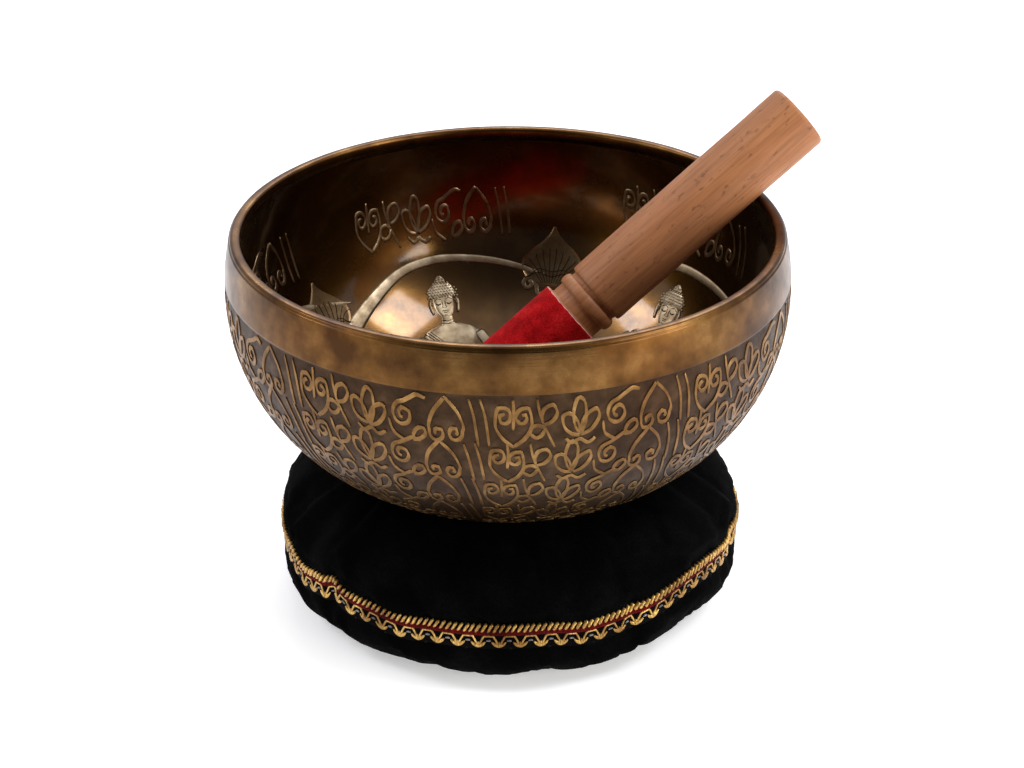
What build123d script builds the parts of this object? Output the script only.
"""A bronze singing bowl on a round velvet cushion, with a wooden mallet resting over its rim.

Millimetres. +Z is up, and the origin is the centre of the cushion's flat underside, on the bowl's axis.
The bowl only rests on the cushion, and the mallet only rests on the bowl's lip and inner floor.
"""
import os
from math import cos, degrees, hypot, pi, radians, sin, sqrt

from build123d import *

# ---- bowl ---------------------------------------------------------------------------------------
belly_radius = 111.0        # widest outer radius
rim_inset = 3.0             # how far the rim leans in from the belly
bowl_height = 103.0         # base to lip
rim_rise = 24.0             # belly to lip
wall = 3.2                  # thickness of the cast wall
lip_width = 4.2             # thickness of the rounded lip
lip_depth = 6.0             # height of the thickened lip
lip_round = 1.4             # edge rounding of the lip
polished_band = 17.2        # bright turned band under the lip
etch_depth = 0.3            # how far the acid lowered the ground round the raised ornament
etch_foot = 9.0             # the ornament stops this high above the base

# ---- mallet -------------------------------------------------------------------------------------
stick_radius = 13.7
mallet_length = 193.0
mallet_azimuth = 17.2       # direction in which the stick leans out over the rim, from +X towards +Y
mallet_tilt = 38.0          # its rise above level
wrap_length = 73.0          # suede sleeve on the playing end
wrap_thickness = 1.8
core_step = 0.5             # the stick is turned down this much under the sleeve
groove_depth = 1.6
sleeve_groove = 4.9         # groove between sleeve and bead
bead_width = 5.2
handle_groove = 1.8         # groove between bead and handle
top_round = 1.6             # rounding of the handle's end
end_chamfer = 1.0           # chamfer on the wood at the playing end
sleeve_joint_gap = 0.4      # open butt joint where the suede's two edges meet

# ---- cushion ------------------------------------------------------------------------------------
cushion_radius = 94.8
seat_height = 52.7          # top of the filled cushion under the middle of the bowl
dimple_reach = 20.0         # the round base presses the top in this far beyond its own flat
crown_slope = 9.0           # degrees, rise of the top just outside the dimple
side_low = 20.5             # rounding of the lower edge; above it the side stands upright under the braid
cover = 1.2                 # velvet with its pile
seam_allowance = 9.0        # turned-in edges of the two covers
thread_radius = 0.3
seam_stitch_count = 90

# ---- braid round the cushion --------------------------------------------------------------------
tape = 0.8                  # woven backing tape
yarn = 0.6                  # height of the figured yarns above the tape
cord_radius = 1.3           # twisted cord along the top edge
stripe_width = 2.2
arch_count = 74
arch_height = 3.6
arch_line = 0.7             # width of the arch yarn
arch_flat = 0.5             # flat top as a share of one repeat
arch_gap = 0.2              # between one arch and the next
crescent_height = 1.6
crescent_share = 0.62       # crescent width as a share of one repeat
dot_length = 2.0
dot_height = 0.9
tape_edge = 1.0             # plain tape below the crescents
braid_joint_azimuth = 90.0  # the braid's ends meet at the back
fold_length = 9.0           # folded end that covers the joint
braid_stitch_count = 36
braid_stitch_length = 3.0

rest_gap = 0.3              # clearance between pieces that only rest on each other

# ---- worked out from the above ------------------------------------------------------------------
belly_height = bowl_height - rim_rise
base_flat_radius = belly_radius - belly_height
rim_radius = belly_radius - rim_inset
rim_arc = (rim_rise**2 + rim_inset**2) / (2 * rim_inset)
bowl_base = seat_height + rest_gap
belly_level = bowl_base + belly_height
rim_level = bowl_base + bowl_height
core_radius = stick_radius - core_step
sleeve_radius = core_radius + wrap_thickness
dimple_radius = base_flat_radius + dimple_reach
foot_radius = cushion_radius - side_low
braid_width = 2 * cord_radius + stripe_width + arch_height + crescent_height + tape_edge
side_high = side_low + braid_width
seam_height = side_low + braid_width / 2
tape_face = cushion_radius + tape
yarn_face = tape_face + yarn
repeat = 2 * pi * tape_face / arch_count
cord_level = side_high - cord_radius
stripe_top = side_high - 2 * cord_radius
arch_top = stripe_top - stripe_width
arch_foot = arch_top - arch_height
crescent_top = arch_foot

parts = []


def keep(piece, name):
    """Label a finished piece and put it on the list that is written at the end."""
    piece.label = name
    parts.append(piece)


def round_the_axis(piece, count, first=0.0):
    """Copies of one small piece, evenly spaced round the vertical axis."""
    return [piece.rotate(Axis.Z, first + 360 * k / count) for k in range(count)]


# ---- bowl: flat base, round lower wall, belly, slightly inturned rim and thickened lip -----------
def rim_radius_at(level, inset=0.0):
    """Radius of the upper wall at a height, inset from its outer face."""
    return belly_radius - rim_arc + sqrt((rim_arc - inset) ** 2 - (level - belly_level) ** 2)


lip_foot = rim_level - lip_depth
lip_inner = rim_radius - lip_width
arc_mid = sin(radians(45))
lower_arc = belly_height
inner_arc = belly_height - wall

with BuildPart() as bowl:
    with BuildSketch(Plane.XZ):
        with BuildLine():
            Line((0, bowl_base), (base_flat_radius, bowl_base))
            ThreePointArc(
                (base_flat_radius, bowl_base),
                (base_flat_radius + lower_arc * arc_mid, belly_level - lower_arc * arc_mid),
                (belly_radius, belly_level),
            )
            rim_mid = belly_level + rim_rise / 2
            ThreePointArc(
                (belly_radius, belly_level), (rim_radius_at(rim_mid), rim_mid), (rim_radius, rim_level)
            )
            Line((rim_radius, rim_level), (lip_inner, rim_level))
            Line((lip_inner, rim_level), (lip_inner, rim_level - lip_depth / 2))
            Line((lip_inner, rim_level - lip_depth / 2), (rim_radius_at(lip_foot, wall), lip_foot))
            inner_mid = (belly_level + lip_foot) / 2
            ThreePointArc(
                (rim_radius_at(lip_foot, wall), lip_foot),
                (rim_radius_at(inner_mid, wall), inner_mid),
                (belly_radius - wall, belly_level),
            )
            ThreePointArc(
                (belly_radius - wall, belly_level),
                (base_flat_radius + inner_arc * arc_mid, belly_level - inner_arc * arc_mid),
                (base_flat_radius, bowl_base + wall),
            )
            Line((base_flat_radius, bowl_base + wall), (0, bowl_base + wall))
            Line((0, bowl_base + wall), (0, bowl_base))
        face = make_face()
        corners = face.vertices().group_by(Axis.Y)
        fillet(corners[-1] + corners[-2] + corners[-3], radius=lip_round)
    revolve(axis=Axis.Z)
    etch_top = rim_level - polished_band
    with BuildSketch(Plane.XZ):
        with BuildLine():
            Line((belly_radius + 1, belly_level), (belly_radius - etch_depth, belly_level))
            etch_mid = (belly_level + etch_top) / 2
            ThreePointArc(
                (belly_radius - etch_depth, belly_level),
                (rim_radius_at(etch_mid, etch_depth), etch_mid),
                (rim_radius_at(etch_top, etch_depth), etch_top),
            )
            Line((rim_radius_at(etch_top, etch_depth), etch_top), (belly_radius + 1, etch_top))
            Line((belly_radius + 1, etch_top), (belly_radius + 1, belly_level))
        make_face()
    revolve(axis=Axis.Z, mode=Mode.SUBTRACT)
    with BuildSketch(Plane.XZ):
        with BuildLine():
            etched_arc = lower_arc - etch_depth
            foot_drop = belly_height - etch_foot
            foot_reach = base_flat_radius + sqrt(etched_arc**2 - foot_drop**2)
            ThreePointArc(
                (foot_reach, belly_level - foot_drop),
                (base_flat_radius + etched_arc * cos(radians(25)), belly_level - etched_arc * sin(radians(25))),
                (belly_radius - etch_depth, belly_level),
            )
            Line((belly_radius - etch_depth, belly_level), (belly_radius + 1, belly_level))
            Line((belly_radius + 1, belly_level), (belly_radius + 1, belly_level - foot_drop))
            Line((belly_radius + 1, belly_level - foot_drop), (foot_reach, belly_level - foot_drop))
        make_face()
    revolve(axis=Axis.Z, mode=Mode.SUBTRACT)
keep(bowl.part, "bowl")


# ---- mallet: leans in one upright plane, on the lip and on the inner floor -----------------------
out = Vector(cos(radians(mallet_azimuth)), sin(radians(mallet_azimuth)), 0)
up = Vector(0, 0, 1)
along = out * cos(radians(mallet_tilt)) + up * sin(radians(mallet_tilt))
over = up * cos(radians(mallet_tilt)) - out * sin(radians(mallet_tilt))
side = along.cross(over)
lip_edge = out * (lip_inner + lip_round) + up * (rim_level - lip_round)
over_lip = lip_edge + over * (stick_radius + lip_round + rest_gap)


def floor_clearance(reach):
    """Least distance from the playing end's edge to the bowl's inner face, `reach` below the lip."""
    least = belly_height
    for k in range(24):
        turn = 2 * pi * k / 24
        point = over_lip - along * reach + (over * cos(turn) + side * sin(turn)) * sleeve_radius
        beyond_flat = max(hypot(point.X, point.Y) - base_flat_radius, 0)
        least = min(least, inner_arc - hypot(beyond_flat, belly_level - point.Z))
    return least


reach_short, reach_long = 0.0, 3 * bowl_height
for _ in range(50):
    reach = (reach_short + reach_long) / 2
    if floor_clearance(reach) > rest_gap:
        reach_short = reach
    else:
        reach_long = reach
playing_end = over_lip - along * reach
mallet_section = Plane(origin=playing_end, x_dir=over, z_dir=over.cross(along))
under_section = Plane(origin=playing_end, x_dir=-over, z_dir=along.cross(over))
mallet_axis = Axis(playing_end, along)

groove_radius = stick_radius - groove_depth
bead_foot = wrap_length + sleeve_groove
bead_top = bead_foot + bead_width
handle_foot = bead_top + handle_groove

with BuildPart() as mallet_stick:
    with BuildSketch(mallet_section):
        with BuildLine():
            Polyline(
                (groove_radius, bead_foot),
                (groove_radius, wrap_length),
                (core_radius, wrap_length),
                (core_radius, end_chamfer),
                (core_radius - end_chamfer, 0),
                (0, 0),
                (0, mallet_length),
                (stick_radius - top_round, mallet_length),
            )
            RadiusArc(
                (stick_radius - top_round, mallet_length), (stick_radius, mallet_length - top_round), top_round
            )
            Polyline(
                (stick_radius, mallet_length - top_round),
                (stick_radius, handle_foot),
                (groove_radius, handle_foot),
                (groove_radius, bead_top),
            )
            ThreePointArc(
                (groove_radius, bead_top), (stick_radius, bead_foot + bead_width / 2), (groove_radius, bead_foot)
            )
        make_face()
    revolve(axis=mallet_axis)
keep(mallet_stick.part, "mallet_stick")

with BuildPart() as mallet_wrap:        # its butt joint lies underneath
    with BuildSketch(under_section):
        with BuildLine():
            Polyline(
                (core_radius, 0), (sleeve_radius, 0), (sleeve_radius, wrap_length), (core_radius, wrap_length),
                close=True,
            )
        make_face()
    revolve(axis=mallet_axis, revolution_arc=360 - degrees(sleeve_joint_gap / core_radius))
keep(mallet_wrap.part, "mallet_wrap")


# ---- cushion: two velvet covers sewn round the side, and the filling between them ----------------
def dimple_level(radius, inset):
    """Height of the pressed-in top at a radius, inset from the cover's outer face."""
    arc = belly_height + rest_gap + inset
    return belly_level - sqrt(arc**2 - max(radius - base_flat_radius, 0) ** 2)


def cushion_section(inset):
    """Right half of the filled cushion's section, inset from the covers' outer face."""
    middle = (base_flat_radius + dimple_radius) / 2
    edge = (dimple_radius, dimple_level(dimple_radius, inset))
    seat = seat_height - inset
    with BuildSketch(Plane.XZ) as section:
        with BuildLine():
            Polyline((base_flat_radius, seat), (0, seat), (0, inset), (foot_radius, inset))
            TangentArc((cushion_radius - inset, side_low), (foot_radius, inset), tangent=(0, -1))
            Line((cushion_radius - inset, side_low), (cushion_radius - inset, side_high))
            TangentArc(
                edge, (cushion_radius - inset, side_high),
                tangent=(cos(radians(crown_slope)), sin(radians(crown_slope))),
            )
            ThreePointArc((base_flat_radius, seat), (middle, dimple_level(middle, inset)), edge)
        make_face()
    return section.sketch


def ring(inner, outer, low, high):
    """Plain ring round the vertical axis."""
    with BuildPart() as band:
        with BuildSketch(Plane.XY.offset(low)):
            Circle(outer)
            Circle(inner, mode=Mode.SUBTRACT)
        extrude(amount=high - low)
    return band.part


def slab(low, high):
    """Everything between two heights, wider than the cushion."""
    with BuildPart() as layer:
        with BuildSketch(Plane.XY.offset(low)):
            Circle(cushion_radius * 2)
        extrude(amount=high - low)
    return layer.part


turned_in = cushion_radius - seam_allowance
joined_edges = ring(turned_in, cushion_radius, seam_height - cover, seam_height + cover)

with BuildPart() as cushion_filling:
    add(cushion_section(cover))
    revolve(axis=Axis.Z)
    add(joined_edges, mode=Mode.SUBTRACT)
filling = cushion_filling.part

with BuildPart() as one_seam_stitch:
    with Locations((0, -(turned_in + seam_allowance / 2), seam_height)):
        Cylinder(radius=thread_radius, height=2 * cover)
with BuildPart() as cushion_seam_stitches:
    add(round_the_axis(one_seam_stitch.part, seam_stitch_count))

with BuildPart() as cushion_top_cover:
    add(cushion_section(0))
    revolve(axis=Axis.Z)
    add(filling, mode=Mode.SUBTRACT)
    add(cushion_seam_stitches.part, mode=Mode.SUBTRACT)
    add(slab(seam_height, bowl_base + bowl_height), mode=Mode.INTERSECT)

with BuildPart() as cushion_bottom_cover:
    add(cushion_section(0))
    revolve(axis=Axis.Z)
    add(filling, mode=Mode.SUBTRACT)
    add(cushion_seam_stitches.part, mode=Mode.SUBTRACT)
    add(slab(0, seam_height), mode=Mode.INTERSECT)

keep(filling, "cushion_filling")
keep(cushion_seam_stitches.part, "cushion_seam_stitches")
keep(cushion_top_cover.part, "cushion_top_cover")
keep(cushion_bottom_cover.part, "cushion_bottom_cover")

# ---- braid: a dark tape that carries a twisted cord, a stripe, arches, crescents and dots ---------
yarn_zone = ring(tape_face, yarn_face, side_low, side_high)
front = Plane.XZ.offset(tape_face - yarn)
through = 3 * yarn

with BuildPart() as one_braid_stitch:
    with BuildSketch(Plane.XZ.offset(cushion_radius - cover)):
        with Locations((0, side_low + braid_stitch_length / 2)):
            SlotOverall(braid_stitch_length, 2 * thread_radius, rotation=45)
    extrude(amount=2 * cover + tape)
    add(ring(cushion_radius, tape_face, side_low, side_high), mode=Mode.INTERSECT)
with BuildPart() as trim_stitches:
    add(round_the_axis(one_braid_stitch.part, braid_stitch_count))
keep(trim_stitches.part, "trim_stitches")

with BuildPart() as trim_tape:
    add(ring(cushion_radius, tape_face, side_low, side_high))
    add(trim_stitches.part, mode=Mode.SUBTRACT)
keep(trim_tape.part, "trim_tape")

with BuildPart() as trim_gold_twist:
    with BuildSketch(Plane.XZ):
        with Locations((tape_face + cord_radius, cord_level)):
            Circle(cord_radius)
    revolve(axis=Axis.Z)
keep(trim_gold_twist.part, "trim_gold_twist")

with BuildPart() as trim_red_stripe:
    add(ring(tape_face, yarn_face, arch_top, stripe_top))
keep(trim_red_stripe.part, "trim_red_stripe")

half = (repeat - arch_gap) / 2
half_flat = repeat * arch_flat / 2
with BuildPart() as one_arch:
    with BuildSketch(front):
        with BuildLine():
            Polyline(
                (-half, arch_foot), (-half_flat, arch_top), (half_flat, arch_top), (half, arch_foot),
                (half - arch_line, arch_foot), (half_flat - arch_line / 2, arch_top - arch_line),
                (-half_flat + arch_line / 2, arch_top - arch_line), (-half + arch_line, arch_foot),
                close=True,
            )
        make_face()
    extrude(amount=through)
    add(yarn_zone, mode=Mode.INTERSECT)
with BuildPart() as trim_gold_arches:
    add(round_the_axis(one_arch.part, arch_count))
keep(trim_gold_arches.part, "trim_gold_arches")

half_crescent = repeat * crescent_share / 2
with BuildPart() as one_crescent:
    with BuildSketch(front):
        with BuildLine():
            Line((-half_crescent, crescent_top), (half_crescent, crescent_top))
            ThreePointArc(
                (half_crescent, crescent_top), (0, crescent_top - crescent_height), (-half_crescent, crescent_top)
            )
        make_face()
    extrude(amount=through)
    add(yarn_zone, mode=Mode.INTERSECT)
with BuildPart() as trim_gold_crescents:
    add(round_the_axis(one_crescent.part, arch_count, 180 / arch_count))
keep(trim_gold_crescents.part, "trim_gold_crescents")

with BuildPart() as one_dot:
    with BuildSketch(front):
        with Locations((0, arch_foot + dot_height)):
            Ellipse(dot_length / 2, dot_height / 2)
    extrude(amount=through)
    add(yarn_zone, mode=Mode.INTERSECT)
with BuildPart() as trim_dots:
    add(round_the_axis(one_dot.part, arch_count))
keep(trim_dots.part, "trim_dots")

with BuildPart() as trim_end_fold:
    with BuildSketch(Plane.XZ.offset(cushion_radius)):
        with Locations((0, (side_low + stripe_top) / 2)):
            Rectangle(fold_length, stripe_top - side_low)
    extrude(amount=tape + yarn + 2 * tape)
    add(ring(yarn_face, yarn_face + tape, side_low, stripe_top), mode=Mode.INTERSECT)
end_fold = trim_end_fold.part.rotate(Axis.Z, braid_joint_azimuth + 90)
keep(end_fold, "trim_end_fold")

os.makedirs("parts", exist_ok=True)
for piece in parts:
    export_step(piece, f"parts/{piece.label}.step")
    print(piece.label, round(piece.volume), "mm3,", len(piece.solids()), "solids")
print("mallet reach below the lip", round(reach, 1), "above it", round(mallet_length - reach, 1))
